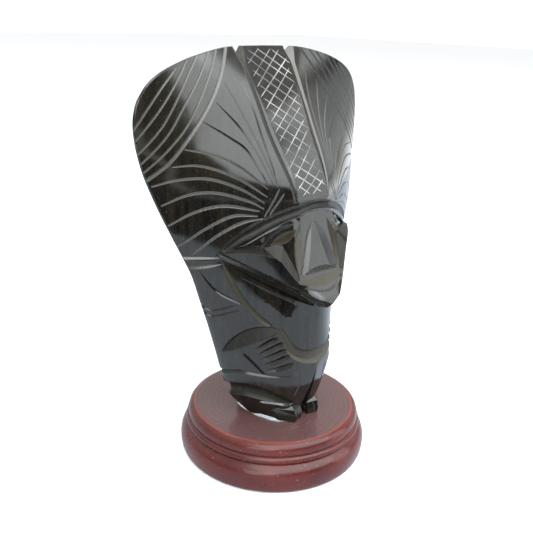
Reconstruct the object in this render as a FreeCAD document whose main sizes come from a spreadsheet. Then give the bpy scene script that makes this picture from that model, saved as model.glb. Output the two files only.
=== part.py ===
import FreeCAD, Part
import math
import os
import Sketcher

# A squatting figure carved from one block of polished obsidian. It wears a wide, split feather headdress
# with a latticed centre band, and it is glued by its feet to a turned wooden base with a felt underside.
#
# Frame: millimetres, +Z up, the figure looks along -Y, and its own right hand is on the -X side.
# The origin is the middle of the felt, on the surface that the base stands on.

doc = FreeCAD.newDocument("CarvedFigure")
vector = FreeCAD.Vector
UP = vector(0, 0, 1)

SIZES = {
    # felt and turned base
    "felt_thickness": 0.8,
    "felt_radius": 47.0,
    "base_foot_radius": 50.0,
    "base_groove_radius": 48.0,
    "base_groove_height": 14.8,
    "base_neck_radius": 46.8,
    "base_neck_height": 19.2,
    "base_rim_radius": 43.3,
    "base_height": 26.2,
    "base_foot_round": 24.0,
    "base_bead_round": 2.6,
    "base_rim_round": 5.2,
    # glue under the feet
    "glue_thickness": 0.4,
    "glue_width": 43.0,
    "glue_depth": 33.0,
    "glue_corner": 14.0,
    "feet_centre": -4.8,
    # whole figure
    "figure_top": 213.0,
    "brow_height": 144.4,
    "chin_height": 92.1,
    "temple_height": 118.0,
    "temple_reach": 50.0,
    "top_front": 17.5,
    "brow_front": -22.1,
    "nose_front": -29.2,
    "nose_height": 110.7,
    "chin_front": -36.4,
    # headdress
    "fan_reach": 73.3,
    "fan_widest": 180.0,
    "fan_edge": 1.6,
    "fan_back": 30.0,
    "band_top_half": 14.8,
    "band_root_half": 9.5,
    "lobe_half": 21.5,
    "notch_half": 15.6,
    "notch_depth": 3.2,
    "band_groove_depth": 3.4,
    "band_groove_width": 5.0,
    "feather_groove": 0.8,
    "feather_width": 1.3,
    # body
    "waist_height": 51.0,
    "leg_gap_top": 57.6,
    "leg_gap_foot": 37.4,
    "finger_width": 2.6,
    "finger_depth": 1.2,
}

sheet = doc.addObject("Spreadsheet::Sheet", "Sizes")
for row, (name, number) in enumerate(SIZES.items(), start=1):
    sheet.set(f"A{row}", name)
    sheet.set(f"B{row}", str(number))
    sheet.setAlias(f"B{row}", name)
doc.recompute()


def size(name):
    """One driving dimension, read from the sheet."""
    return float(sheet.get(name))


# ---------------------------------------------------------------- sketch helpers


def origin_plane(body, role):
    """The body's own origin plane with this role."""
    return next(item for item in body.Origin.OriginFeatures if item.Role == role)


def new_body(name, label):
    """An empty PartDesign body whose label names its file."""
    body = doc.addObject("PartDesign::Body", name)
    body.Label = label
    return body


def new_sketch(body, name, role, lift="0"):
    """A sketch on one of the body's origin planes, lifted along that plane's normal."""
    sketch = body.newObject("Sketcher::SketchObject", name)
    sketch.AttachmentSupport = [(origin_plane(body, role), "")]
    sketch.MapMode = "FlatFace"
    sketch.setExpression("AttachmentOffset.Base.z", f"({lift}) * 1 mm")
    return sketch


def bind(sketch, kind, places, expression):
    """Add one driving constraint and bind it to the sheet."""
    start = sketch.evalExpression(expression)
    index = sketch.addConstraint(Sketcher.Constraint(kind, *places, float(start)))
    sketch.setExpression(f"Constraints[{index}]", f"({expression}) * 1 mm")


def arc_through(start, end, radius):
    """Arc of this radius from start to end, turning left."""
    chord = end - start
    middle = (start + end) * 0.5
    rise = math.sqrt(radius**2 - (chord.Length / 2) ** 2)
    left = vector(-chord.y, chord.x, 0).normalize()
    centre = middle + left * rise
    first = math.atan2(start.y - centre.y, start.x - centre.x)
    last = math.atan2(end.y - centre.y, end.x - centre.x)
    if last < first:
        last += 2 * math.pi
    return Part.ArcOfCircle(Part.Circle(centre, UP, radius), first, last)


def half_profile(sketch, corners):
    """A closed half section on the axis of a turned piece.

    Each corner is (radius, height, round): expressions on the sheet, where round is the radius of the
    arc that follows the corner, or None for a straight line. The first and last corners are on the axis.
    """
    places = [vector(*(sketch.evalExpression(text) for text in corner[:2]), 0) for corner in corners]
    for index, (place, corner) in enumerate(zip(places, corners)):
        following = places[(index + 1) % len(places)]
        if corner[2]:
            sketch.addGeometry(arc_through(place, following, sketch.evalExpression(corner[2])))
        else:
            sketch.addGeometry(Part.LineSegment(place, following))
    last = len(corners) - 1
    for index in range(last + 1):
        sketch.addConstraint(Sketcher.Constraint("Coincident", index, 2, (index + 1) % (last + 1), 1))
    for index in (0, last):
        sketch.addConstraint(Sketcher.Constraint("PointOnObject", index, 1, -2))
        bind(sketch, "DistanceY", (-1, 1, index, 1), corners[index][1])
    for index in range(1, last):
        bind(sketch, "DistanceX", (-1, 1, index, 1), corners[index][0])
        bind(sketch, "DistanceY", (-1, 1, index, 1), corners[index][1])
    for index, corner in enumerate(corners):
        if corner[2]:
            bind(sketch, "Radius", (index,), corner[2])


# ---------------------------------------------------------------- base, felt and glue


def build_felt():
    """Round felt disc under the base."""
    body = new_body("FeltDisc", "felt_disc")
    sketch = new_sketch(body, "FeltOutline", "XY_Plane")
    sketch.addGeometry(Part.Circle(vector(), UP, size("felt_radius")))
    sketch.addConstraint(Sketcher.Constraint("Coincident", 0, 3, -1, 1))
    bind(sketch, "Radius", (0,), "Sizes.felt_radius")
    pad = body.newObject("PartDesign::Pad", "FeltPad")
    pad.Profile = sketch
    pad.setExpression("Length", "Sizes.felt_thickness * 1 mm")
    return body


def build_base():
    """Turned wooden base: a heavy foot moulding, a thin bead and a rounded rim under a flat top."""
    body = new_body("WoodenBase", "wooden_base")
    sketch = new_sketch(body, "BaseSection", "XZ_Plane")
    half_profile(
        sketch,
        [
            ("0", "Sizes.felt_thickness", None),
            ("Sizes.base_foot_radius", "Sizes.felt_thickness", "Sizes.base_foot_round"),
            ("Sizes.base_groove_radius", "Sizes.base_groove_height", "Sizes.base_bead_round"),
            ("Sizes.base_neck_radius", "Sizes.base_neck_height", "Sizes.base_rim_round"),
            ("Sizes.base_rim_radius", "Sizes.base_height", None),
            ("0", "Sizes.base_height", None),
        ],
    )
    turned = body.newObject("PartDesign::Revolution", "BaseTurning")
    turned.Profile = sketch
    turned.ReferenceAxis = (sketch, ["V_Axis"])
    turned.Angle = 360
    return body


def build_adhesive():
    """Thin bed of glue under both feet, a little wider than they are."""
    body = new_body("Adhesive", "adhesive")
    sketch = new_sketch(body, "GlueOutline", "XY_Plane", "Sizes.base_height")
    half_width = size("glue_width") / 2
    half_depth = size("glue_depth") / 2
    middle = size("feet_centre")
    corners = [
        vector(-half_width, middle - half_depth, 0),
        vector(half_width, middle - half_depth, 0),
        vector(half_width, middle + half_depth, 0),
        vector(-half_width, middle + half_depth, 0),
    ]
    for index, corner in enumerate(corners):
        sketch.addGeometry(Part.LineSegment(corner, corners[(index + 1) % 4]))
    for index in range(4):
        sketch.addConstraint(Sketcher.Constraint("Coincident", index, 2, (index + 1) % 4, 1))
        sketch.addConstraint(Sketcher.Constraint("Vertical" if index % 2 else "Horizontal", index))
    bind(sketch, "DistanceX", (-1, 1, 0, 2), "Sizes.glue_width / 2")
    bind(sketch, "DistanceX", (0, 1, 0, 2), "Sizes.glue_width")
    bind(sketch, "DistanceY", (1, 1, 1, 2), "Sizes.glue_depth")
    bind(sketch, "DistanceY", (-1, 1, 1, 2), "Sizes.glue_depth / 2 + Sizes.feet_centre")
    pad = body.newObject("PartDesign::Pad", "GluePad")
    pad.Profile = sketch
    pad.setExpression("Length", "Sizes.glue_thickness * 1 mm")
    doc.recompute()
    upright = [
        f"Edge{number}"
        for number, edge in enumerate(pad.Shape.Edges, start=1)
        if abs(edge.tangentAt(edge.FirstParameter).z) > 0.9
    ]
    rounded = body.newObject("PartDesign::Fillet", "GlueCorners")
    rounded.Base = (pad, upright)
    rounded.setExpression("Radius", "Sizes.glue_corner * 1 mm")
    return body


# ---------------------------------------------------------------- the carving
# A freely carved stone has no sketched section, so its solids are lofts and planes worked out here.


def ramp(stations, height):
    """Value at this height on straight runs between (height, value) stations."""
    for (low, below), (high, above) in zip(stations, stations[1:]):
        if height <= high:
            part = max(0.0, (height - low) / (high - low))
            return below + (above - below) * part
    return stations[-1][1]


def prism(outline, front, back):
    """Solid with this front-view outline of (x, z) corners, from depth front to depth back."""
    ring = [vector(x, front, z) for x, z in outline]
    face = Part.Face(Part.makePolygon(ring + ring[:1]))
    return face.extrude(vector(0, back - front, 0))


def half_space(normal, point, reach=400.0):
    """Large block that fills everything behind the plane through point with this outward normal."""
    outward = vector(*normal).normalize()
    block = Part.makeBox(reach, reach, reach, vector(-reach / 2, -reach / 2, -reach))
    block.Placement = FreeCAD.Placement(vector(*point), FreeCAD.Rotation(UP, outward))
    return block


def mirrored(shape):
    """The same shape on the other side of the figure."""
    return shape.mirror(vector(), vector(1, 0, 0))


def vee_groove(start, end, outward, width, depth, proud=1.5):
    """Cutter for a straight V groove from start to end in a surface that faces outward."""
    along = (end - start).normalize()
    out = (outward - along * outward.dot(along)).normalize()
    across = along.cross(out)
    corners = [
        start - out * depth,
        start + across * (width / 2) * (1 + proud / depth) + out * proud,
        start - across * (width / 2) * (1 + proud / depth) + out * proud,
    ]
    face = Part.Face(Part.makePolygon(corners + corners[:1]))
    return face.extrude(end - start)


def front_ridge(height):
    """Depth of the middle of the figure's front."""
    return ramp(
        [
            (70.0, size("brow_front")),
            (size("brow_height"), size("brow_front")),
            (size("figure_top"), size("top_front")),
        ],
        height,
    )


def band_half(height):
    """Half the width of the latticed band at this height."""
    return ramp(
        [(size("brow_height"), size("band_root_half")), (size("figure_top"), size("band_top_half"))],
        height,
    )


FAN_STATIONS = [
    # height, reach of the thin edge, depth of the edge, depth of the back
    (96.0, 45.0, 6.0, 21.0),
    (118.0, 55.5, 6.5, 25.0),
    (144.0, 66.0, 12.0, 29.0),
    (162.0, 71.2, 16.2, 30.0),
    (180.0, 73.3, 18.2, 30.0),
    (198.0, 73.3, 19.3, 28.0),
    (216.0, 73.3, 20.0, 24.5),
]


def fan_section(height, reach, edge, back):
    """Closed lens-shaped section of the headdress with a flat middle in front and thin side edges."""
    front = front_ridge(height)
    band = band_half(height)
    half_edge = size("fan_edge") / 2
    bow = 2.2
    right_band = vector(band, front, height)
    right_front = vector(reach, edge - half_edge, height)
    right_back = vector(reach, edge + half_edge, height)
    rear = vector(0, back, height)
    bulge = (right_band + right_front) * 0.5 + vector(0.45, -0.9, 0) * bow
    flip = lambda point: vector(-point.x, point.y, point.z)
    edges = [
        Part.LineSegment(flip(right_band), right_band).toShape(),
        Part.Arc(right_band, bulge, right_front).toShape(),
        Part.LineSegment(right_front, right_back).toShape(),
        Part.Arc(right_back, rear, flip(right_back)).toShape(),
        Part.LineSegment(flip(right_back), flip(right_front)).toShape(),
        Part.Arc(flip(right_front), flip(bulge), flip(right_band)).toShape(),
    ]
    return Part.Wire(edges)


def fan_outline():
    """Front view of the headdress: two rounded lobes and the band between two small notches."""
    top = size("figure_top")
    reach = size("fan_reach")
    widest = size("fan_widest")
    lobe = size("lobe_half")
    notch = size("notch_half")
    crown = [
        vector(reach + 0.2, 0, widest),
        vector(reach - 3.0, 0, widest + 13.0),
        vector(reach - 13.0, 0, widest + 22.5),
        vector(reach - 33.0, 0, widest + 30.0),
        vector(lobe + 1.0, 0, top),
    ]
    arc = Part.BSplineCurve()
    arc.interpolate(crown)
    steps = 12
    right = [arc.value(arc.FirstParameter + (arc.LastParameter - arc.FirstParameter) * step / steps)
             for step in range(steps + 1)]
    half = [(reach + 0.2, 90.0)] + [(point.x, point.z) for point in right]
    half += [(lobe - 1.0, top), (notch, top - size("notch_depth")), (notch - 1.0, top), (0.0, top + 0.2)]
    return half + [(-x, z) for x, z in reversed(half[:-1])]


def build_fan():
    """Thin-edged headdress blank trimmed to its front-view outline."""
    wires = [fan_section(*station) for station in FAN_STATIONS]
    blank = Part.makeLoft(wires, True, False)
    return blank.common(prism(fan_outline(), -60.0, 60.0))


def build_head():
    """Leaf-shaped face: an arched brow above, a straight jaw on each side below, pointed at the temples."""
    temple = size("temple_reach")
    level = size("temple_height")
    brow = size("brow_height")
    chin = size("chin_height")
    arch = [(temple, level), (36.0, 131.0), (27.0, 137.0), (16.0, 141.5), (0.0, brow + 1.5)]
    jaw = [(-6.0, chin), (6.0, chin)]
    outline = arch + [(-x, z) for x, z in reversed(arch[:-1])] + jaw
    block = prism(outline, -50.0, 8.0)
    nose_plane = half_space((0, -23.0, 5.9), (0, size("nose_front"), size("nose_height")))
    upper = block.common(nose_plane)
    for side in (1, -1):
        upper = upper.common(half_space((side * 0.548, -0.82, 0.166), (side * 10.0, -25.0, 140.0)))
    cheek_line = [(temple, level), (30.0, 119.0), (23.0, 117.0), (16.0, 109.0), (8.0, 105.5), (0.0, 104.5)]
    wedge = cheek_line + [(-x, z) for x, z in reversed(cheek_line[:-1])] + jaw
    lower = prism(wedge, -50.0, 8.0)
    lower = lower.common(half_space((0, -12.0, 3.0), (0, size("chin_front"), chin)))
    for side in (1, -1):
        lower = lower.common(half_space((side * 0.633, -0.754, -0.172), (side * 15.5, -30.0, 108.5)))
    return upper.fuse(lower)


TORSO_STATIONS = [
    # height, middle of the front, knee reach, knee depth, side reach, side depth, back depth
    (26.6, -19.7, 11.0, -20.5, 20.5, 0.0, 11.0),
    (37.0, -25.3, 11.5, -23.5, 27.5, 5.0, 13.0),
    (51.0, -30.0, 12.0, -27.0, 32.6, 6.0, 14.5),
    (66.0, -31.8, 13.5, -28.5, 37.0, 6.0, 16.0),
    (80.0, -32.2, 14.0, -27.0, 41.4, 6.0, 18.0),
    (94.0, -29.0, 13.0, -22.5, 46.2, 7.0, 20.5),
    (118.0, -18.0, 12.0, -14.0, 55.0, 7.5, 25.0),
]


def torso_section(height, front, knee_reach, knee_front, side_reach, side_depth, back):
    """Closed section of the body: two flat front planes, full flanks and a gently curved back."""
    knee = vector(knee_reach, knee_front, height)
    side = vector(side_reach, side_depth, height)
    flank = (knee + side) * 0.5 + vector(1.8, -1.4, 0)
    flip = lambda point: vector(-point.x, point.y, point.z)
    edges = [
        Part.LineSegment(flip(knee), vector(0, front, height)).toShape(),
        Part.LineSegment(vector(0, front, height), knee).toShape(),
        Part.Arc(knee, flank, side).toShape(),
        Part.Arc(side, vector(0, back, height), flip(side)).toShape(),
        Part.Arc(flip(side), flip(flank), flip(knee)).toShape(),
    ]
    return Part.Wire(edges)


def build_torso():
    """Body, arms and legs in one tapering block."""
    wires = [torso_section(*station) for station in TORSO_STATIONS]
    return Part.makeLoft(wires, True, False)


def band_grooves():
    """The two deep V grooves beside the latticed band."""
    top = vector(size("notch_half"), size("top_front") + 0.6, size("figure_top") + 4.0)
    root = vector(size("band_root_half") + 1.0, size("brow_front") + 0.4, size("brow_height"))
    outward = vector(0.15, -0.87, 0.5)
    groove = vee_groove(top, root, outward, size("band_groove_width"), size("band_groove_depth"))
    return [groove, mirrored(groove)]


def fan_point(reach, height):
    """Point of the headdress's front at this front-view place, on the line from band to edge."""
    below, above = next(
        pair for pair in zip(FAN_STATIONS, FAN_STATIONS[1:]) if height <= pair[1][0]
    )
    part = (height - below[0]) / (above[0] - below[0])
    side, edge = (below[i] + (above[i] - below[i]) * part for i in (1, 2))
    band = band_half(height)
    share = (reach - band) / (side - band)
    front = front_ridge(height)
    return vector(reach, front + (edge - front) * share - 2.0 * 4 * share * (1 - share), height)


def fan_normal(reach, height):
    """Outward direction of the headdress's front at this front-view place."""
    sideways = fan_point(reach + 1.0, height) - fan_point(reach - 1.0, height)
    upward = fan_point(reach, height + 1.0) - fan_point(reach, height - 1.0)
    return sideways.cross(upward).normalize()


FEATHERS = [
    # each feather groove, from its tip to its root beside the brow: reach and height of both ends
    ((24.0, 204.0), (18.4, 153.5)),
    ((30.0, 197.5), (18.8, 154.0)),
    ((36.7, 189.0), (20.2, 153.0)),
    ((44.6, 181.0), (22.4, 152.5)),
    ((54.3, 169.5), (22.8, 151.0)),
    ((59.7, 162.0), (23.4, 148.0)),
    ((65.0, 153.0), (24.8, 145.0)),
    ((62.0, 144.0), (25.1, 142.0)),
    ((60.0, 135.0), (27.0, 141.0)),
    ((57.0, 126.0), (27.9, 139.0)),
]

HEADDRESS_ARC = [(24.5, 213.5), (30.0, 203.0), (36.4, 193.3), (46.0, 181.5), (57.0, 168.0), (73.0, 156.0)]


def feather_grooves():
    """Shallow V grooves of the feathers and the deeper arc that crosses their tips."""
    cutters = []
    for tip, root in FEATHERS:
        middle = ((tip[0] + root[0]) / 2, (tip[1] + root[1]) / 2)
        for start, end in ((tip, middle), (middle, root)):
            cutters.append((start, end, size("feather_width"), size("feather_groove")))
    for start, end in zip(HEADDRESS_ARC, HEADDRESS_ARC[1:]):
        cutters.append((start, end, size("feather_width") * 1.6, size("feather_groove") * 1.5))
    solids = [
        vee_groove(fan_point(*start), fan_point(*end), fan_normal(*start), width, depth)
        for start, end, width, depth in cutters
    ]
    return solids + [mirrored(solid) for solid in solids]


def face_cuts():
    """Eye hollows under the brow, the grooves beside the nose and the mouth line."""
    cutters = []
    eye = prism([(46.0, 119.5), (27.0, 130.0), (20.0, 132.5), (17.0, 112.0), (24.0, 118.5)], -50.0, 0.0)
    eye = eye.common(half_space((-0.548, 0.82, -0.166), (10.0, -23.0, 140.0)))
    nose = vee_groove(
        vector(1.5, -24.0, 136.0), vector(15.0, -30.5, 107.0), vector(0.5, -0.85, 0.1), 4.5, 2.4
    )
    mouth = vee_groove(
        vector(0, -35.5, 99.5), vector(11.0, -33.0, 101.0), vector(0.3, -1.0, -0.1), 1.8, 1.0
    )
    for cutter in (eye, nose, mouth):
        cutters += [cutter, mirrored(cutter)]
    return cutters


def body_cuts():
    """Hollow between arm and forearm, waist and ankle grooves, fingers, leg gap and gap between the feet."""
    cutters = []
    hollow = prism([(39.0, 63.0), (30.0, 76.0), (22.0, 82.0), (12.0, 79.5), (12.0, 78.5), (26.0, 70.0)],
                   -50.0, 20.0)
    hollow = hollow.common(half_space((-0.62, 0.78, 0.0), (29.0, -11.5, 70.0)))
    cutters.append(hollow)
    level = size("waist_height")
    cutters.append(
        vee_groove(vector(36.0, 6.0, level + 1.0), vector(13.0, -28.0, level - 4.0),
                   vector(0.8, -0.6, 0), 3.0, 1.8)
    )
    calf = prism([(40.0, 26.0), (34.0, 46.0), (26.0, 44.0), (12.5, 37.5), (9.0, 32.5), (9.0, 29.0),
                  (20.0, 29.0), (24.0, 26.0)], -50.0, 20.0)
    calf = calf.common(half_space((-0.8, 0.6, 0.0), (19.0, -10.0, 35.0)))
    cutters.append(calf)
    for number in range(5):
        height = 73.5 - 4.6 * number
        cutters.append(
            vee_groove(vector(23.5, -18.0, height - 5.0), vector(13.0, -29.0, height + 0.5),
                       vector(0.7, -0.7, 0), size("finger_width"), size("finger_depth"))
        )
    cutters += [mirrored(cutter) for cutter in cutters]
    gap = prism([(0.0, size("leg_gap_top")), (3.2, size("leg_gap_foot")), (2.6, 20.0), (-2.6, 20.0),
                 (-3.2, size("leg_gap_foot"))], -50.0, -14.0)
    cutters.append(gap)
    return cutters


def build_carving():
    """The whole stone figure as one solid."""
    solid = build_fan().fuse(build_torso()).fuse(build_head()).removeSplitter()
    for group in (band_grooves(), face_cuts(), body_cuts(), feather_grooves()):
        solid = solid.cut(Part.makeCompound(group))
    feature = doc.addObject("Part::Feature", "Carving")
    feature.Label = "carving"
    feature.Shape = solid
    feature.Placement = FreeCAD.Placement()
    return feature


pieces = [build_felt(), build_base(), build_adhesive(), build_carving()]
doc.recompute()

failed = [item.Name for item in doc.Objects if "Invalid" in item.State or "Error" in item.State]
if failed:
    raise SystemExit(f"failed objects: {failed}")
for piece in pieces:
    if piece.Shape.isNull() or not piece.Shape.isValid():
        raise SystemExit(f"bad shape: {piece.Label}")

os.makedirs("parts", exist_ok=True)
for piece in pieces:
    piece.Shape.exportStep(f"parts/{piece.Label}.step")
    box = piece.Shape.BoundBox
    print(piece.Label, len(piece.Shape.Solids), round(piece.Shape.Volume), box)
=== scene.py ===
import math
import random

import bmesh
import bpy
import numpy as np
from mathutils import Matrix, Vector
from mathutils.bvhtree import BVHTree


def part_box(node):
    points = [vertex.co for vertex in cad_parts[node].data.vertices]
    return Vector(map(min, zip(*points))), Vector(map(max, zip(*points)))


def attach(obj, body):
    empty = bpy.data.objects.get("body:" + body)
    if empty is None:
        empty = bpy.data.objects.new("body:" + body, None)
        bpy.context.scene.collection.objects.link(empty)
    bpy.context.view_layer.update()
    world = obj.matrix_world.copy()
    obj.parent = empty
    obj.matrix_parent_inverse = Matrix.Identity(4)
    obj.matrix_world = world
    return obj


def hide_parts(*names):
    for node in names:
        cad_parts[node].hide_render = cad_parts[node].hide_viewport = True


# A squatting figure in polished obsidian on a turned wooden stand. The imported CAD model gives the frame:
# +Z up, the figure looks along -Y, and the stand's underside is at z = 0. Blender works in metres; the
# carving is drawn in millimetres, and MM turns them into metres.

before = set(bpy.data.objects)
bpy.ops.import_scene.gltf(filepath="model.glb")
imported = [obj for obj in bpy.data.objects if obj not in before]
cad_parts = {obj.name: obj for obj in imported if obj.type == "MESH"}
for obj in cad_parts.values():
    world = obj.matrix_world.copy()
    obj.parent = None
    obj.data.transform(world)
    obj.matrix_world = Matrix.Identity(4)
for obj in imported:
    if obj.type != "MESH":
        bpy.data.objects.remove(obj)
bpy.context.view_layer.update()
MM = 0.001
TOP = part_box("carving")[1].z / MM
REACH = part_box("carving")[1].x / MM
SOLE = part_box("carving")[0].z / MM
BASE_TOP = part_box("wooden_base")[1].z / MM
CHIN_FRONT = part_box("carving")[0].y / MM
SIDES = (-1, 1)


# The stone's finishes, in the order of its material slots; the golden finish paints sheen and the dull finish paints
# shade on the groove walls that carry them.
POLISHED, GROUND, SCRATCHED, SHEEN_PAINTED, SHADE_PAINTED = range(5)


# ---------------------------------------------------------------- curves and small helpers


def ease_through(stations, where):
    """Smooth value at `where` on a curve through (position, value) stations, with no overshoot."""
    places = np.array([station[0] for station in stations], float)
    values = np.array([station[1] for station in stations], float)
    steps = np.diff(places)
    slopes = np.diff(values) / steps
    tangents = np.zeros(len(places))
    for index in range(1, len(places) - 1):
        left, right = slopes[index - 1], slopes[index]
        if left * right > 0:
            first = 2 * steps[index] + steps[index - 1]
            second = steps[index] + 2 * steps[index - 1]
            tangents[index] = (first + second) / (first / left + second / right)
    tangents[0], tangents[-1] = slopes[0], slopes[-1]
    where = np.clip(where, places[0], places[-1])
    index = np.clip(np.searchsorted(places, where) - 1, 0, len(steps) - 1)
    part = (where - places[index]) / steps[index]
    return (
        values[index] * (1 + 2 * part) * (1 - part) ** 2
        + values[index + 1] * part**2 * (3 - 2 * part)
        + tangents[index] * steps[index] * part * (1 - part) ** 2
        - tangents[index + 1] * steps[index] * part**2 * (1 - part)
    )


def smooth_path(points, spacing=1.2):
    """Evenly spaced points on a Catmull-Rom curve through a few control points."""
    points = np.array(points, float)
    if len(points) == 2:
        count = max(2, int(np.linalg.norm(points[1] - points[0]) / spacing))
        return np.linspace(points[0], points[1], count + 1)
    padded = np.vstack([2 * points[0] - points[1], points, 2 * points[-1] - points[-2]])
    pieces = []
    for before, start, end, after in zip(padded, padded[1:], padded[2:], padded[3:]):
        t = np.linspace(0, 1, 24, endpoint=False)[:, None]
        pieces.append(
            0.5 * (2 * start + (end - before) * t + (2 * before - 5 * start + 4 * end - after) * t**2
                   + (3 * start - before - 3 * end + after) * t**3)
        )
    curve = np.vstack(pieces + [points[-1:]])
    lengths = np.r_[0, np.cumsum(np.linalg.norm(np.diff(curve, axis=0), axis=1))]
    count = max(2, int(lengths[-1] / spacing))
    marks = np.linspace(0, lengths[-1], count + 1)
    return np.column_stack([np.interp(marks, lengths, curve[:, axis]) for axis in range(curve.shape[1])])


def make_object(name, vertices, faces, material=None):
    """A mesh object from vertices in millimetres; pieces of the stone carry all of its finishes."""
    mesh = bpy.data.meshes.new(name)
    mesh.from_pydata([tuple(float(value) for value in place) for place in vertices], [], faces)
    mesh.validate()
    mesh.update()
    piece = bpy.data.objects.new(name, mesh)
    bpy.context.scene.collection.objects.link(piece)
    for item in [material] if material else stone_finishes:
        mesh.materials.append(item)
    return piece


def remove(piece):
    """Delete a construction object and its mesh."""
    mesh = piece.data
    bpy.data.objects.remove(piece)
    bpy.data.meshes.remove(mesh)


def apply_modifiers(piece):
    """Replace an object's mesh by its evaluated mesh."""
    graph = bpy.context.evaluated_depsgraph_get()
    mesh = bpy.data.meshes.new_from_object(piece.evaluated_get(graph))
    old = piece.data
    piece.modifiers.clear()
    piece.data = mesh
    mesh.name = piece.name
    bpy.data.meshes.remove(old)


def combine(piece, other, operation):
    """Boolean of two closed meshes; the second is consumed."""
    step = piece.modifiers.new("combine", "BOOLEAN")
    step.operation = operation
    step.solver = "MANIFOLD"
    step.object = other
    apply_modifiers(piece)
    remove(other)
    return piece


def closed_grid(rings):
    """Vertices and faces of a tube through closed rings with the same number of points, capped at both ends."""
    count = len(rings[0])
    vertices = np.vstack(rings)
    faces = []
    for level in range(len(rings) - 1):
        low = level * count
        for index in range(count):
            after = (index + 1) % count
            faces.append((low + index, low + after, low + count + after, low + count + index))
    faces.append(tuple(reversed(range(count))))
    last = (len(rings) - 1) * count
    faces.append(tuple(range(last, last + count)))
    return vertices, faces


def prism(name, outline, front, back, material=None):
    """Closed block with this front-view outline of (x, z) corners, counter-clockwise seen from the front."""
    rings = [np.array([(x, depth, z) for x, z in outline]) for depth in (back, front)]
    vertices, faces = closed_grid(rings)
    return make_object(name, vertices, faces, material)


def half_space(name, normal, point, reach=320.0):
    """Closed block that fills everything behind the plane through point with this outward normal."""
    outward = Vector(normal).normalized()
    turn = outward.to_track_quat("Z", "Y").to_matrix()
    corners = []
    for z in (-reach, 0.0):
        for x, y in ((-1, -1), (1, -1), (1, 1), (-1, 1)):
            corners.append(Vector(point) + turn @ Vector((x * reach / 2, y * reach / 2, z)))
    faces = [(3, 2, 1, 0), (4, 5, 6, 7), (0, 1, 5, 4), (1, 2, 6, 5), (2, 3, 7, 6), (3, 0, 4, 7)]
    return make_object(name, corners, faces)


# ---------------------------------------------------------------- the stone's blank

RIDGE = [(96.0, -18.0), (110.0, -21.0), (118.0, -23.8), (144.4, -22.1), (180.0, -3.2), (TOP + 3.0, 19.0)]
SIDE_EDGE = [(96.0, 5.0), (118.0, 6.0), (130.0, 8.0), (144.0, 12.0), (160.0, 16.0), (180.0, 18.2), (TOP, 19.8)]
BACK_LINE = [(96.0, 13.0), (106.0, 18.5), (118.0, 22.5), (144.0, 26.5), (180.0, 28.0), (TOP, 24.0)]
FAN_SIDE = [(45.2, 96.0), (50.8, 108.0), (56.4, 119.5), (61.5, 131.0), (66.2, 144.0), (70.4, 158.0),
            (72.8, 170.0), (73.3, 180.0), (72.0, 187.8), (69.6, 193.0), (65.6, 198.2), (59.0, 202.9),
            (48.7, 207.2), (38.5, 210.0), (27.0, 212.2), (17.0, 213.0), (0.0, 213.2)]
RIM = 1.4
BAND_TOP, BAND_ROOT = 15.2, 10.2
BROW = 144.4


def band_half(height):
    """Half the width of the headdress's middle band."""
    return np.interp(height, [BROW, TOP], [BAND_ROOT, BAND_TOP])


def fan_reach(height):
    """How far the headdress would reach sideways at this height if its top weren't rounded off."""
    sides = [(z, x) for x, z in FAN_SIDE if z <= 181.0]
    return ease_through(sides + [(TOP + 1.0, REACH)], height)


def fan_front(x, height):
    """Depth of the headdress's front: flat across the band, then swept back to the thin edge, gently bowed."""
    x = np.abs(x)
    band, reach = band_half(height), fan_reach(height)
    ridge, edge = ease_through(RIDGE, height), ease_through(SIDE_EDGE, height)
    share = np.clip((x - band) / (reach - band), 0, 1)
    bow = 2.5 * 4 * share * (1 - share) * 0.9
    return np.where(x <= band, ridge, ridge + (edge - ridge) * share - bow)


def build_fan():
    """The thin-rimmed leaf of the headdress, before any carving."""
    half = smooth_path(FAN_SIDE, 1.3)
    count = len(half)
    arc = np.linspace(0, 1, count)
    spine_height = ease_through([(0, half[0, 1]), (0.42, 148.0), (0.72, 178.0), (1, 200.0)], arc)
    steps = np.r_[0, np.linspace(0.012, 1, 56) ** 1.15]
    left = half * (-1, 1)
    outline = np.vstack([left, half[::-1][1:]])
    spine = np.r_[spine_height, spine_height[::-1][1:]]
    rows_front, rows_back = [], []
    for step in steps:
        x = outline[:, 0] * (1 - step)
        z = outline[:, 1] * (1 - step) + spine * step
        front = fan_front(x, z)
        rim = RIM * (0.45 if step == 0 else 1.0)
        blend = 1 - (1 - step) ** 2
        back = front * (1 - blend) + ease_through(BACK_LINE, z) * blend + RIM
        if step == 0:
            front, back = front + (RIM - rim) / 2, back - (RIM - rim) / 2
        rows_front.append(np.column_stack([x, front, z]))
        rows_back.append(np.column_stack([x, back, z]))
    width = len(outline)
    rows = rows_front[::-1] + rows_back
    vertices = np.vstack(rows)
    faces = []
    for level in range(len(rows) - 1):
        for index in range(width - 1):
            low = level * width + index
            faces.append((low, low + 1, low + width + 1, low + width))
    front_foot = [level * width for level in range(len(rows))]
    back_foot = [level * width + width - 1 for level in range(len(rows))]
    faces.append(tuple(front_foot + back_foot[::-1]))
    piece = make_object("fan_blank", vertices, faces)
    merge_close(piece, 0.002)
    return piece


def merge_close(piece, distance):
    """Weld vertices that fall together and make all faces look outward."""
    shape = bmesh.new()
    shape.from_mesh(piece.data)
    bmesh.ops.remove_doubles(shape, verts=shape.verts, dist=distance)
    bmesh.ops.dissolve_degenerate(shape, edges=shape.edges, dist=1e-4)
    bmesh.ops.recalc_face_normals(shape, faces=shape.faces)
    shape.to_mesh(piece.data)
    shape.free()


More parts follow.
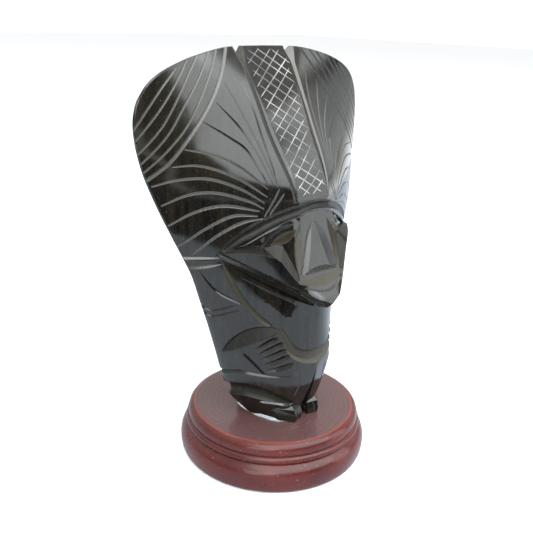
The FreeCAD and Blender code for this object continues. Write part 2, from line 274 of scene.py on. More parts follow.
BODY_LEVELS = {
    # height: middle of the front, knee reach, knee depth, side reach, side depth, back depth
    26.6: (-19.7, 10.0, -20.6, 20.0, 0.0, 11.0),
    31.0: (-22.3, 11.0, -21.8, 23.4, 3.5, 12.0),
    37.0: (-25.3, 11.5, -23.6, 27.6, 5.0, 13.0),
    51.0: (-30.0, 12.5, -26.8, 32.6, 6.0, 14.5),
    66.0: (-31.8, 14.0, -28.0, 37.2, 6.0, 16.0),
    80.0: (-32.2, 14.0, -26.8, 41.6, 6.0, 18.0),
    94.0: (-32.4, 13.5, -26.6, 46.2, 6.5, 20.0),
    106.0: (-31.0, 13.5, -25.2, 50.0, 7.0, 17.0),
    118.0: (-28.0, 13.0, -22.0, 54.6, 7.5, 8.0),
}


def bezier(start, near_start, near_end, end, count):
    """Points on a cubic curve, without its last one."""
    t = np.linspace(0, 1, count, endpoint=False)[:, None]
    start, near_start, near_end, end = (np.array(place, float) for place in (start, near_start, near_end, end))
    return (start * (1 - t) ** 3 + near_start * 3 * t * (1 - t) ** 2 + near_end * 3 * t**2 * (1 - t)
            + end * t**3)


def body_ring(height):
    """Closed section of the body at this height."""
    levels = list(BODY_LEVELS)
    front, knee, knee_depth, side, side_depth, back = (
        float(ease_through([(level, BODY_LEVELS[level][item]) for level in levels], height))
        for item in range(6)
    )
    middle, bend = np.array((0, front)), np.array((knee, knee_depth))
    flank, rear = np.array((side, side_depth)), np.array((0, back))
    ahead = (flank - bend) * 0.36
    right = np.vstack([
        np.linspace(middle, bend, 12, endpoint=False),
        bezier(bend, bend + ahead + (0.6, -1.4), flank + (2.4, -6.5), flank, 34),
        bezier(flank, flank + (-2.6, 0.15 * (back - side_depth) + 0.6), rear + (side * 0.5, 0), rear, 26),
    ])
    left = right[1:][::-1] * (-1, 1)
    ring = np.vstack([right, [rear], left])
    softness = np.clip((height - 60.0) / 8.0, 0, 1) + np.clip((54.0 - height) / 30.0, 0, 0.3)
    for _ in range(int(3 + 45 * softness)):
        softened = (np.roll(ring, 1, axis=0) + 2 * ring + np.roll(ring, -1, axis=0)) / 4
        ring = np.where(np.abs(ring[:, :1]) < abs(knee) * 2.2, softened, ring)
    return np.column_stack([ring, np.full(len(ring), height)])


def build_body():
    """Neck, arms, body and legs in one tapering block."""
    heights = np.linspace(SOLE, 117.5, 84)
    vertices, faces = closed_grid([body_ring(height) for height in heights])
    piece = make_object("body_blank", vertices, faces)
    merge_close(piece, 0.001)
    return piece


TEMPLE = (44.5, 120.5)
BROW_ARCH = [TEMPLE, (40.5, 126.4), (35.8, 131.2), (27.5, 136.9), (16.6, 141.4), (8.0, 143.6), (0.0, 144.4)]
BROW_FOOT = [TEMPLE, (34.6, 125.2), (27.3, 129.8), (19.9, 133.8), (14.9, 136.4), (8.0, 138.2), (0.0, 138.8)]
BROW_PROUD = 1.6
JAW_SLOPE = 0.615
CHIN = 93.0
JAW_BEVEL = 3.9
CHEEK_RISE = 125.0
EYE_PLANE = ((0.593, -0.777, 0.212), 54.5)
NOSE_PLANE = ((0.0, -0.969, 0.248), 55.7)
CHEEK_PLANE = ((0.687, -0.72, -0.09), 24.4)
CHIN_LINE = [(84.0, -41.0), (93.2, -40.3), (98.0, -38.8), (104.4, -33.8), (112.0, -30.0), (126.0, -24.0)]
CHEEK_EDGE = [(47.0, 121.3), (39.0, 122.3), (34.0, 122.5), (28.6, 121.6), (25.1, 120.6), (22.9, 118.6),
              (18.9, 112.1), (15.5, 107.3), (8.0, 105.4), (0.0, 104.4)]
HOLLOW = [(47.0, 4.0, 124.0), (38.0, 2.0, 126.5), (32.5, -5.0, 127.0), (28.0, -8.0, 127.5), (25.9, -10.8, 126.5),
          (16.0, -19.8, 128.0), (13.1, -24.0, 120.6), (12.2, -26.2, 112.3), (6.5, -25.5, 112.0), (0.0, -25.5, 112.0)]


def plane_depth(plane, x, height):
    """Depth of a plane, given by its outward normal on the +X side and its distance, mirrored to -X."""
    normal, distance = plane
    return (distance - normal[0] * np.abs(x) - normal[2] * height) / normal[1]


def soft_max(first, second, rounding):
    """The larger of two depths, with the corner between them rounded."""
    return 0.5 * (first + second + np.sqrt((first - second) ** 2 + rounding**2))


def mirror_outline(half):
    """Whole front-view outline from its right half, which starts and ends on x = 0 at the most."""
    return list(half) + [(-x, z) for x, z in reversed(half) if x > 0]


def relief_block(name, outline, depth, back, spacing=1.0):
    """Block with this front-view outline whose front follows depth(x, z)."""
    corners = np.array(outline)
    low, high = corners.min(axis=0) - 2, corners.max(axis=0) + 2
    across = np.arange(low[0], high[0] + spacing, spacing)
    upward = np.arange(low[1], high[1] + spacing, spacing)
    across -= (across[0] + across[-1]) / 2
    grid_x, grid_z = np.meshgrid(across, upward)
    front = np.column_stack([grid_x.ravel(), depth(grid_x, grid_z).ravel(), grid_z.ravel()])
    rear = np.column_stack([grid_x.ravel(), np.full(grid_x.size, back), grid_z.ravel()])
    columns, rows = len(across), len(upward)
    faces = []
    for row in range(rows - 1):
        for column in range(columns - 1):
            low_left = row * columns + column
            faces.append((low_left, low_left + 1, low_left + columns + 1, low_left + columns))
            faces.append(tuple(len(front) + corner for corner in
                               (low_left + columns, low_left + columns + 1, low_left + 1, low_left)))
    border = list(range(columns)) + [row * columns + columns - 1 for row in range(1, rows)]
    border += [(rows - 1) * columns + column for column in reversed(range(columns - 1))]
    border += [row * columns for row in reversed(range(1, rows - 1))]
    for corner, after in zip(border, border[1:] + border[:1]):
        faces.append((after, corner, len(front) + corner, len(front) + after))
    block = make_object(name, np.vstack([front, rear]), faces)
    return combine(block, prism(name + "_outline", outline, -60.0, 40.0), "INTERSECT")


def brow_depth(x, height):
    """Front of the raised brow, a little proud of the headdress."""
    return fan_front(x, height) - BROW_PROUD * np.clip((TEMPLE[0] + 4 - np.abs(x)) / 16, 0, 1)


def jaw_depth(x, height):
    """Front of the cheeks and the rounded chin."""
    chin = ease_through(CHIN_LINE, height)
    return soft_max(chin, plane_depth(CHEEK_PLANE, x, height), 3.0)


def plane_block(plane, side):
    """Half space behind one of the face's planes, on this side."""
    normal, distance = plane
    outward = Vector((side * normal[0], normal[1], normal[2]))
    return half_space("facet", outward, outward * distance / outward.length_squared)


def face_hollow():
    """What is cut away above the cheeks and lip: a wall that falls back from their edge."""
    ahead = -80.0
    columns = []
    for (x, z), inner in zip(CHEEK_EDGE, HOLLOW):
        edge = (x, float(jaw_depth(x, z)) - 0.02, z)
        deep = (inner[0], 5.0, CHEEK_RISE + 8)
        columns.append([edge, inner, deep, (deep[0], ahead, deep[2]), (edge[0], ahead, edge[2])])
    mirrored = [[(-x, y, z) for x, y, z in column] for column in columns[:-1]]
    vertices, faces = closed_grid([np.array(column) for column in mirrored + columns[::-1]])
    piece = make_object("face_hollow", vertices, faces)
    # Its walls take painted golden sheen near the middle and painted shade further out.
    for polygon in piece.data.polygons:
        polygon.material_index = SHEEN_PAINTED if abs(polygon.center.x) < 14 else SHADE_PAINTED
    merge_close(piece, 1e-5)
    return piece


def build_head():
    """Leaf-shaped face: an arched brow above, a recessed eye region and a proud, bevelled jaw."""
    arch = [tuple(place) for place in smooth_path(BROW_ARCH, 1.5)]
    foot = [tuple(place) for place in smooth_path(BROW_FOOT, 1.5)]
    jaw = relief_block("jaw_block", mirror_outline([
        (0.0, CHIN - JAW_BEVEL), (1.5, CHIN - JAW_BEVEL + 0.6), (TEMPLE[0] - 2, TEMPLE[1] - 4.5), TEMPLE,
        (TEMPLE[0] - 4, CHEEK_RISE), (0.0, CHEEK_RISE)]), jaw_depth, 8.0)
    combine(jaw, face_hollow(), "DIFFERENCE")
    for side in SIDES:
        along = Vector((side * 1.0, 0.86, JAW_SLOPE)).normalized()
        cheek = Vector((side * CHEEK_PLANE[0][0], CHEEK_PLANE[0][1], CHEEK_PLANE[0][2])).normalized()
        down = along.cross(cheek).normalized()
        if down.z > 0:
            down = -down
        combine(jaw, half_space("jaw_bevel", cheek * 0.62 + down * 0.78, (0.0, CHIN_FRONT + 0.2, CHIN)), "INTERSECT")
        tip = Vector((0.0, CHIN_FRONT, CHIN - 2.0))
        facing = Vector((side * 0.45, -0.6, -0.66)).normalized()
        combine(jaw, half_space("chin_round", facing, tip - facing * 1.6), "INTERSECT")
    head = prism("eye_block", mirror_outline([(0.0, CHIN), (1.5, CHIN + 0.5)] + arch), -60.0, 8.0)
    combine(head, plane_block(NOSE_PLANE, 1), "INTERSECT")
    for side in SIDES:
        combine(head, plane_block(EYE_PLANE, side), "INTERSECT")
    brow = relief_block("brow_block", mirror_outline(foot[::-1] + arch[1:]), brow_depth, 6.0)
    combine(head, brow, "UNION")
    return combine(head, jaw, "UNION")


FOOTPRINT = [(2.6, -24.5), (8.6, -26.0), (14.5, -19.0), (18.2, -9.0), (19.2, 0.0), (18.4, 8.0), (12.0, 13.0), (2.6, 13.0)]
FOOT_TOP = 36.0


def build_foot(side):
    """One foot: a low block that reaches forward of the shin."""
    rings = []
    for height, grow in ((SOLE, 0.0), (SOLE + 3.5, 0.6), (FOOT_TOP - 3, 0.2), (FOOT_TOP, -1.6)):
        lean = 1.6 * (height - SOLE) / (FOOT_TOP - SOLE)
        centre = np.array((9.0, -4.0))
        ring = [centre + (np.array(corner) - centre) * (1 + grow / 14) + (0, lean) for corner in FOOTPRINT]
        rings.append(np.array([(side * x, y, height) for x, y in ring]))
    vertices, faces = closed_grid(rings)
    foot = make_object("foot", vertices, faces)
    merge_close(foot, 1e-4)
    return foot


# ---------------------------------------------------------------- carved lines

VEE = [(-1.0, 0.0), (0.0, 1.0), (1.0, 0.0)]
SCOOP = [(-1.0, 0.0), (-0.86, 0.32), (-0.62, 0.66), (-0.32, 0.9), (0.0, 1.0), (0.32, 0.9), (0.62, 0.66),
         (0.86, 0.32), (1.0, 0.0)]
EVEN = [(0.0, 1.0), (1.0, 1.0)]
LENS = [(0.0, 0.04), (0.2, 0.68), (0.5, 1.0), (0.8, 0.68), (1.0, 0.04)]
FADE = [(0.0, 0.05), (0.3, 0.7), (0.7, 1.0), (1.0, 0.6)]
LINE = [(0.0, 0.1), (0.12, 1.0), (0.88, 1.0), (1.0, 0.1)]


def on_surface(tree, path):
    """Places and outward normals on the stone under (x, z) points seen from the front, or near (x, y, z) ones."""
    places, normals = [], []
    for point in path:
        if len(point) == 2:
            found = tree.ray_cast(Vector((point[0], -200.0, point[1])), Vector((0, 1, 0)))
        else:
            found = tree.find_nearest(Vector(point))
        if found[0] is not None:
            places.append(np.array(found[0]))
            normals.append(np.array(found[1]))
    return np.array(places), np.array(normals)


def unit(vectors):
    """Rows scaled to length one."""
    return vectors / np.linalg.norm(vectors, axis=1)[:, None]


def tube(tree, points, width, depth, swell=EVEN, section=VEE, lean=0.0, run_out=(0.0, 0.0), proud=0.5):
    """Rings of a groove's cutter, following the stone; run_out carries its ends past the stone's edge."""
    places, normals = on_surface(tree, smooth_path(points, 1.0))
    for _ in range(3):
        inner = (normals[:-2] + 2 * normals[1:-1] + normals[2:]) / 4
        normals = np.vstack([normals[:1], inner, normals[-1:]])
    places = np.vstack([places[:1], (places[:-2] + 2 * places[1:-1] + places[2:]) / 4, places[-1:]])
    normals = unit(normals)
    reach = min(4, len(places) - 1)
    if run_out[0]:
        heading = unit((places[0] - places[reach])[None])
        places, normals = np.vstack([places[0] + heading * run_out[0], places]), np.vstack([normals[:1], normals])
    if run_out[1]:
        heading = unit((places[-1] - places[-1 - reach])[None])
        places, normals = np.vstack([places, places[-1] + heading * run_out[1]]), np.vstack([normals, normals[-1:]])
    along = unit(np.gradient(places, axis=0))
    across = unit(np.cross(along, normals))
    travelled = np.r_[0, np.cumsum(np.linalg.norm(np.diff(places, axis=0), axis=1))]
    scales = ease_through(swell, travelled / travelled[-1])
    section = np.array(section, float)
    section[1:-1, 0] += lean * section[1:-1, 1]
    half = width / 2
    flare_start = proud * (section[1, 0] - section[0, 0]) * half / (section[1, 1] * depth)
    flare_end = proud * (section[-1, 0] - section[-2, 0]) * half / (section[-2, 1] * depth)
    rings = []
    for place, normal, sideways, scale in zip(places, normals, across, scales):
        ring = [place + normal * proud - sideways * (half * scale + flare_start)]
        for over, down in section[1:-1]:
            ring.append(place + sideways * over * half * scale - normal * down * depth * scale)
        ring.append(place + normal * proud + sideways * (half * scale + flare_end))
        rings.append(np.array(ring))
    return rings


def carve(stone, tubes, finish):
    """Cut grooves that don't touch one another; finish is the material on their walls."""
    vertices, faces = [], []
    for rings in tubes:
        start = len(vertices)
        grid_vertices, grid_faces = closed_grid(rings)
        vertices.extend(grid_vertices)
        faces.extend(tuple(start + corner for corner in face) for face in grid_faces)
    cutter = make_object("cutter", vertices, faces)
    for polygon in cutter.data.polygons:
        polygon.material_index = finish
    merge_close(cutter, 1e-6)
    combine(stone, cutter, "DIFFERENCE")


def flipped(points, side):
    """The same path on this side of the figure."""
    return [(side * point[0],) + tuple(point[1:]) for point in points]


def whole(points):
    """A path that runs from the left side over the middle to the right side."""
    return flipped(points, -1) + [point for point in reversed(points) if point[0] > 0]


def both(tree, points, width, depth, **options):
    """The same groove on both sides of the figure."""
    lean = options.pop("lean", 0.0)
    return [tube(tree, flipped(points, side), width, depth, lean=-side * lean, **options) for side in SIDES]


CROWN_ARCS = [
    [(24.5, 211.7), (29.8, 202.9), (36.4, 193.3), (45.2, 182.2), (54.0, 171.6), (61.1, 163.3), (69.2, 156.1)],
    [(30.4, 211.4), (35.8, 203.0), (44.2, 190.5), (52.3, 178.7), (60.6, 169.4), (70.1, 159.7)],
    [(35.2, 210.2), (41.9, 201.0), (51.4, 188.5), (60.0, 175.9), (70.8, 163.8)],
    [(42.1, 208.5), (47.8, 201.1), (57.2, 186.5), (63.0, 178.1), (71.7, 168.2)],
    [(49.6, 204.0), (56.1, 194.9), (63.2, 185.4), (72.6, 173.9)],
    [(56.0, 201.0), (61.3, 195.0), (67.5, 186.7), (72.7, 179.1)],
]
FEATHERS = [
    [(23.7, 204.5), (19.5, 189.3), (18.8, 172.5), (18.4, 153.5)],
    [(30.3, 197.5), (25.9, 186.1), (21.3, 169.6), (18.9, 154.0)],
    [(36.7, 189.2), (28.2, 178.0), (23.3, 166.7), (20.2, 153.3)],
    [(44.6, 181.2), (34.0, 173.9), (27.5, 167.7), (22.4, 153.0)],
    [(54.3, 169.5), (42.9, 166.9), (32.8, 161.4), (22.8, 151.4)],
    [(59.7, 161.9), (48.8, 162.2), (35.5, 157.1), (23.4, 147.8)],
    [(67.9, 153.0), (59.0, 155.9), (46.4, 156.5), (34.2, 151.8), (24.8, 145.1)],
    [(64.7, 144.3), (54.6, 149.4), (43.9, 150.2), (31.4, 146.2), (25.1, 142.3)],
    [(62.5, 135.0), (52.3, 141.5), (41.1, 144.2), (27.0, 141.4)],
    [(58.7, 124.7), (48.8, 133.5), (38.1, 139.4), (27.9, 139.1)],
    [(52.9, 121.1), (44.5, 130.0), (34.9, 136.0), (25.8, 138.0)],
]
LATTICE_STEP = 5.2
LATTICE_SLOPE = 0.69


def carve_headdress(stone, tree):
    """Crown arcs, feather lines, the middle band's edges and its scratched lattice."""
    band_swell = [(0.0, 1.0), (0.06, 0.9), (0.16, 0.36), (1.0, 0.26)]
    carve(stone, both(tree, [(16.6, 211.6), (15.5, 189.6), (14.4, 168.9), (10.9, 144.6)], 7.0, 3.4,
                      swell=band_swell, lean=-0.45, run_out=(5.0, 0.0)), GROUND)
    main, *others = CROWN_ARCS
    arcs = both(tree, main, 1.7, 0.7, lean=0.4, run_out=(5.0, 5.0))
    for arc in others:
        arcs += both(tree, arc, 1.0, 0.45, lean=0.3, run_out=(5.0, 5.0))
    carve(stone, arcs, GROUND)
    for start in (0, 1):
        lines = []
        for number in range(start, len(FEATHERS), 2):
            reach = number / (len(FEATHERS) - 1)
            swell = [(0.0, 0.15 + 0.55 * reach), (0.3, 0.9), (0.7, 1.0), (1.0, 0.4)]
            lines += both(tree, FEATHERS[number], 1.1 + 0.4 * reach, 0.5, swell=swell, lean=0.3)
        dark = 2 * len([number for number in range(start, 4, 2)])
        carve(stone, lines[:dark], POLISHED)
        carve(stone, lines[dark:], GROUND)
    for line in ([(25.8, 137.6), (17.9, 151.3)], [(23.6, 138.6), (15.9, 149.4)]):
        carve(stone, both(tree, line, 1.0, 0.4, swell=LINE), GROUND)
    bands = []
    for line in ([(56.3, 119.0), (50.0, 119.2), (43.0, 119.0)], [(53.5, 113.7), (47.7, 114.9), (42.2, 116.0)]):
        bands += both(tree, line, 2.4, 0.9, swell=[(0.0, 1.0), (0.7, 0.8), (1.0, 0.2)], run_out=(5.0, 0.0))
    carve(stone, bands, GROUND)
    for slope in (-1, 1):
        lines = []
        for height in np.arange(BROW - 8, TOP + 12, LATTICE_STEP):
            height += chance.uniform(-0.5, 0.5)
            tilt = slope * LATTICE_SLOPE * chance.uniform(0.93, 1.07)
            reach = band_half(height) - 1.5 + chance.uniform(-0.5, 0.4)
            steps = [x for x in np.linspace(-reach, reach, 25) if BROW + 2.5 < height + tilt * x < TOP - 1.2]
            if len(steps) > 5:
                ends = [(steps[0], height + tilt * steps[0]), (steps[-1], height + tilt * steps[-1])]
                lines.append(tube(tree, ends, chance.uniform(0.34, 0.64), 0.2, swell=LINE))
        carve(stone, lines, SCRATCHED)


def carve_face(stone, tree):
    """Brow hollows, lids, eyes, nose, mouth and jaw lines."""
    brow = [(43.0, 121.6), (36.2, 128.4), (29.0, 133.0), (22.2, 136.9), (15.0, 139.7), (8.0, 141.6), (0.0, 142.3)]
    carve(stone, [tube(tree, whole(brow), 4.4, 1.5, section=SCOOP,
                       swell=[(0.0, 0.2), (0.15, 0.85), (0.5, 0.8), (0.85, 0.85), (1.0, 0.2)])], SHADE_PAINTED)
    lid = [(37.0, 123.8), (28.0, 129.9), (22.3, 133.1), (14.4, 136.6), (6.5, 138.7), (0.0, 139.2)]
    carve(stone, [tube(tree, whole(lid), 1.8, 0.7, swell=LENS)], GROUND)
    carve(stone, both(tree, [(28.0, 121.5), (26.4, 125.2), (23.7, 129.4), (19.9, 132.4), (15.8, 134.2), (12.4, 135.2)],
                      2.2, 0.9, swell=LENS, lean=0.5), POLISHED)
    carve(stone, both(tree, [(23.2, 125.2), (18.6, 127.9), (14.8, 130.4), (12.2, 132.0)], 4.6, 2.2, swell=LENS,
                      lean=0.35), SHEEN_PAINTED)
    carve(stone, both(tree, [(9.2, 134.4), (12.6, 124.0), (13.8, 110.0)], 4.8, 2.0, swell=LENS), SHEEN_PAINTED)
    carve(stone, both(tree, [(0.9, 134.2), (4.3, 128.2), (8.6, 116.4), (11.2, 110.3)], 5.4, 2.2,
                      swell=[(0.0, 0.15), (0.4, 0.8), (1.0, 1.0)], lean=-0.35), GROUND)
    carve(stone, [tube(tree, whole([(12.8, 109.4), (6.0, 110.9), (0.0, 111.2)]), 3.2, 2.0, swell=LENS)], GROUND)
    carve(stone, [tube(tree, whole([(13.0, 105.2), (6.0, 103.0), (0.0, 102.2)]), 1.6, 0.7, swell=LENS)], GROUND)
    jaw_line = [(41.0, -5.5, 117.8), (38.5, -7.0, 116.4), (26.3, -15.0, 108.9), (15.3, -24.7, 102.0), (8.0, -33.0, 97.5)]
    carve(stone, both(tree, jaw_line, 1.2, 0.5, swell=LINE), GROUND)
    under_jaw = [(41.8, 118.0), (34.0, 112.6), (26.0, 107.2), (17.0, 101.6), (9.0, 96.6), (3.5, 93.4)]
    carve(stone, both(tree, under_jaw, 3.8, 1.8, section=SCOOP,
                      swell=[(0.0, 0.1), (0.3, 0.8), (0.7, 1.0), (1.0, 0.35)]), SHADE_PAINTED)
    carve(stone, both(tree, [(33.0, -9.0, 108.5), (23.5, -16.5, 100.0), (12.5, -25.5, 91.6)], 9.0, 1.5,
                      swell=[(0.0, 0.05), (0.5, 0.6), (0.94, 1.0), (1.0, 0.75)], lean=-0.5), POLISHED)


FINGERS = [
    [(26.9, -13.6, 69.5), (23.4, -17.7, 72.8), (19.3, -21.9, 77.0)],
    [(25.7, -14.6, 66.8), (21.6, -19.5, 70.2), (16.9, -24.5, 74.5)],
    [(24.6, -15.4, 63.9), (20.4, -20.7, 66.9), (15.8, -25.8, 70.8)],
    [(23.4, -15.9, 60.4), (19.1, -21.7, 63.6), (14.8, -27.0, 67.7)],
    [(21.9, -16.5, 56.8), (17.6, -22.5, 59.4), (13.4, -28.0, 63.1)],
]


def carve_body(stone, tree):
    """Neck, arms, hands, waist and legs."""
    carve(stone, both(tree, [(41.6, -4.8, 116.9), (39.6, -5.4, 112.1), (36.2, -6.6, 105.6), (31.6, -10.0, 96.1),
                             (25.8, -15.3, 87.2), (21.6, -19.0, 83.0)], 3.2, 1.3, section=SCOOP,
                      swell=[(0.0, 0.1), (0.3, 0.9), (0.9, 1.0), (1.0, 0.7)]), SHEEN_PAINTED)
    bib = [(18.6, -22.4, 81.5), (16.6, -25.0, 75.5), (14.2, -27.4, 70.2), (9.2, -29.4, 66.6), (3.6, -30.6, 65.2),
           (0.0, -30.8, 65.0)]
    carve(stone, [tube(tree, whole(bib), 8.4, 2.2, section=SCOOP,
                       swell=[(0.0, 0.35), (0.2, 0.62), (0.5, 1.0), (0.8, 0.62), (1.0, 0.35)])], SHEEN_PAINTED)
    carve(stone, both(tree, [(36.6, 0.5, 66.2), (33.2, -6.4, 72.8), (28.3, -12.6, 77.6), (23.5, -17.5, 80.0),
                             (17.8, -23.0, 81.0)], 8.4, 2.6, swell=LENS, lean=-0.55), SHADE_PAINTED)
    for start in (0, 1):
        fingers = []
        for line in FINGERS[start::2]:
            fingers += both(tree, line, 3.3, 1.4, swell=[(0.0, 0.05), (0.35, 0.85), (0.75, 1.0), (1.0, 0.3)])
        carve(stone, fingers, POLISHED)
    carve(stone, both(tree, [(31.1, -8.2, 67.6), (26.3, -12.5, 61.1), (21.3, -16.6, 53.8)], 1.7, 0.7, swell=LINE), POLISHED)
    arms = both(tree, [(50.3, 2.4, 113.7), (45.2, -0.3, 105.2), (40.4, -3.6, 99.9), (33.2, -8.9, 95.4)], 1.6, 0.7,
                swell=FADE)
    arms += both(tree, [(52.0, 4.8, 112.4), (49.7, 6.4, 104.7)], 0.9, 0.35, swell=LINE)
    arms += both(tree, [(43.5, 11.0, 94.0), (46.5, 5.5, 92.2), (43.8, 1.4, 90.7), (41.0, -2.1, 91.4), (37.7, -5.3, 93.0),
                        (34.6, -7.8, 94.4)], 1.2, 0.5, swell=LINE)
    arms += both(tree, [(42.5, 11.0, 90.6), (45.2, 5.5, 88.8), (42.8, 1.4, 87.2), (40.4, -2.2, 88.3), (37.5, -5.2, 89.7),
                        (33.4, -8.9, 91.6)], 1.2, 0.5, swell=LINE)
    carve(stone, arms, POLISHED)
    carve(stone, both(tree, [(28.5, 10.5, 53.2), (33.2, 5.0, 52.9), (29.7, -5.8, 55.0), (24.6, -12.7, 54.6),
                             (20.0, -18.3, 54.2), (15.2, -24.3, 54.7), (10.5, -28.3, 57.6)], 2.6, 1.2,
                      swell=[(0.0, 0.3), (0.2, 1.0), (0.5, 0.9), (1.0, 0.1)], lean=0.2), POLISHED)
    carve(stone, both(tree, [(20.0, 11.5, 41.0), (28.6, 4.0, 42.5), (26.2, -5.6, 43.4), (21.4, -12.6, 42.2), (15.9, -18.8, 39.9),
                             (10.0, -24.0, 37.0)], 9.0, 2.3, section=SCOOP,
                      swell=[(0.0, 0.3), (0.25, 0.9), (0.6, 1.0), (0.9, 0.7), (1.0, 0.4)]), SHADE_PAINTED)
    gap = [(0.0, -31.0, 58.2), (0.0, -29.6, 50.0), (0.0, -26.0, 40.0), (0.0, -22.5, 32.0), (0.0, -20.5, 27.2)]
    carve(stone, [tube(tree, gap, 5.0, 8.0, swell=[(0.0, 0.03), (0.4, 0.5), (0.75, 0.85), (1.0, 1.0)],
                       run_out=(0.0, 4.0))], POLISHED)
    carve(stone, both(tree, [(9.4, -28.6, 57.4), (8.4, -27.8, 49.6), (9.6, -25.4, 41.4)], 1.0, 0.35, swell=LINE), SHEEN_PAINTED)
    carve(stone, both(tree, [(18.6, -9.8, 37.2), (14.8, -17.0, 36.9), (8.0, -23.8, 36.6)], 1.6, 0.8, swell=LINE), GROUND)
    toes = []
    for across in (5.0, 7.4, 9.8):
        toes += both(tree, [(across, -30.0, 36.0), (across, -30.0, 31.0), (across, -30.0, 27.0)], 1.3, 0.8, swell=FADE,
                     run_out=(0.0, 2.0))
    carve(stone, toes, SHEEN_PAINTED)


# ---------------------------------------------------------------- materials


class Shading:
    """A material and short ways to add and join its nodes."""

    def __init__(self, name):
        self.material = bpy.data.materials.new(name)
        self.material.use_nodes = True
        self.nodes = self.material.node_tree.nodes
        self.links = self.material.node_tree.links
        self.shader = self.nodes["Principled BSDF"]
        self.place = self.nodes.new("ShaderNodeTexCoord").outputs["Object"]

    def add(self, kind, settings=None, **inputs):
        """A node with these settings, and with sockets given by name, joined or set."""
        node = self.nodes.new(kind)
        for name, value in (settings or {}).items():
            setattr(node, name, value)
        for name, value in inputs.items():
            self.join(node.inputs[name.replace("_", " ")], value)
        return node

    def join(self, socket, value):
        """Link a socket to another, or set its value."""
        if isinstance(value, bpy.types.NodeSocket):
            self.links.new(value, socket)
        else:
            socket.default_value = value

    def stretched(self, scale):
        """Object coordinates scaled by axis."""
        node = self.nodes.new("ShaderNodeMapping")
        self.links.new(self.place, node.inputs["Vector"])
        node.inputs["Scale"].default_value = scale
        return node.outputs["Vector"]

    def noise(self, scale, detail=3.0, roughness=0.5, vector=None, distortion=0.0):
        """Noise value."""
        node = self.add("ShaderNodeTexNoise", Vector=vector or self.place, Scale=scale, Detail=detail,
                        Roughness=roughness, Distortion=distortion)
        return node.outputs["Fac"]

    def ramp(self, value, stops):
        """Colour ramp through (position, colour) stops; a number stands for a grey."""
        node = self.add("ShaderNodeValToRGB", Fac=value)
        for index, (position, colour) in enumerate(stops):
            item = node.color_ramp.elements[index] if index < 2 else node.color_ramp.elements.new(position)
            item.position = position
            item.color = (colour, colour, colour, 1) if isinstance(colour, float) else (*colour, 1)
        return node.outputs["Color"]

    def span(self, value, low, high, start, end):
        """Value mapped from one range to another."""
        node = self.nodes.new("ShaderNodeMapRange")
        for name, item in zip(("Value", "From Min", "From Max", "To Min", "To Max"), (value, low, high, start, end)):
            self.join(node.inputs[name], item)
        return node.outputs["Result"]

    def mix(self, share, first, second, blend="MIX"):
        """Mixed colour."""
        node = self.nodes.new("ShaderNodeMix")
        node.data_type = "RGBA"
        node.blend_type = blend
        for index, value in ((0, share), (6, first), (7, second)):
            if isinstance(value, tuple):
                value = (*value, 1)
            self.join(node.inputs[index], value)
        return node.outputs[2]

    def bump(self, height, strength, distance, normal=None):
        """Surface normal disturbed by a height."""
        node = self.add("ShaderNodeBump", Height=height, Strength=strength, Distance=distance)
        if normal:
            self.links.new(normal, node.inputs["Normal"])
        return node.outputs["Normal"]

    def finish(self, **inputs):
        """Set the shader's sockets."""
        for name, value in inputs.items():
            self.join(self.shader.inputs[name.replace("_", " ")], value)
        return self.material


def obsidian_material(name, dark, gold, sheen_low, roughness, scratch, mirror=0.62):
    """Volcanic glass: near black, with soft clouds of golden sheen and fine polishing marks."""
    shade = Shading(name)
    clouds = shade.noise(1.0, 3.0, 0.5, shade.stretched((16.0, 16.0, 7.0)), 0.6)
    streaks = shade.noise(1.0, 5.0, 0.65, shade.stretched((420.0, 420.0, 16.0)))
    specks = shade.noise(1500.0, 2.0)
    cloudy = shade.ramp(clouds, [(sheen_low, dark), (0.72, gold)])
    streaked = shade.mix(shade.span(streaks, 0.35, 0.7, 0.0, 0.4), cloudy, (0.022, 0.017, 0.0095), "LIGHTEN")
    colour = shade.mix(shade.span(specks, 0.66, 0.8, 0.0, 0.5), streaked, (0.12, 0.11, 0.09))
    marks = shade.noise(1.0, 3.0, 0.6, shade.stretched((2600.0, 500.0, 160.0)))
    smears = shade.noise(34.0, 4.0, 0.6)
    rough = shade.add("ShaderNodeMath", {"operation": "MULTIPLY"})
    shade.join(rough.inputs[0], shade.span(marks, 0.3, 0.75, 0.75, 1.3))
    shade.join(rough.inputs[1], shade.span(smears, 0.3, 0.7, roughness * 0.7, roughness * 1.4))
    edge = shade.add("ShaderNodeBevel", {"samples": 3}, Radius=0.00035)
    soft = shade.bump(shade.noise(26.0, 2.0), 0.35, 0.0012, edge.outputs["Normal"])
    fine = shade.bump(marks, scratch, 0.00006, soft)
    return shade.finish(Base_Color=colour, Roughness=rough.outputs[0], Specular_IOR_Level=mirror, IOR=1.5, Normal=fine)


def scratched_material():
    """Whitish, crushed glass in the scratched lattice."""
    shade = Shading("scratched_obsidian")
    grain = shade.noise(1800.0, 3.0, 0.7)
    patches = shade.noise(60.0, 3.0, 0.6)
    colour = shade.mix(shade.span(patches, 0.4, 0.62, 0.15, 1.0), (0.05, 0.05, 0.047), (0.42, 0.41, 0.38))
    colour = shade.mix(shade.span(grain, 0.4, 0.6, 0.0, 0.5), colour, (0.1, 0.1, 0.095))
    return shade.finish(Base_Color=colour, Roughness=shade.span(grain, 0.3, 0.7, 0.45, 0.75),
                        Normal=shade.bump(grain, 0.5, 0.0001))


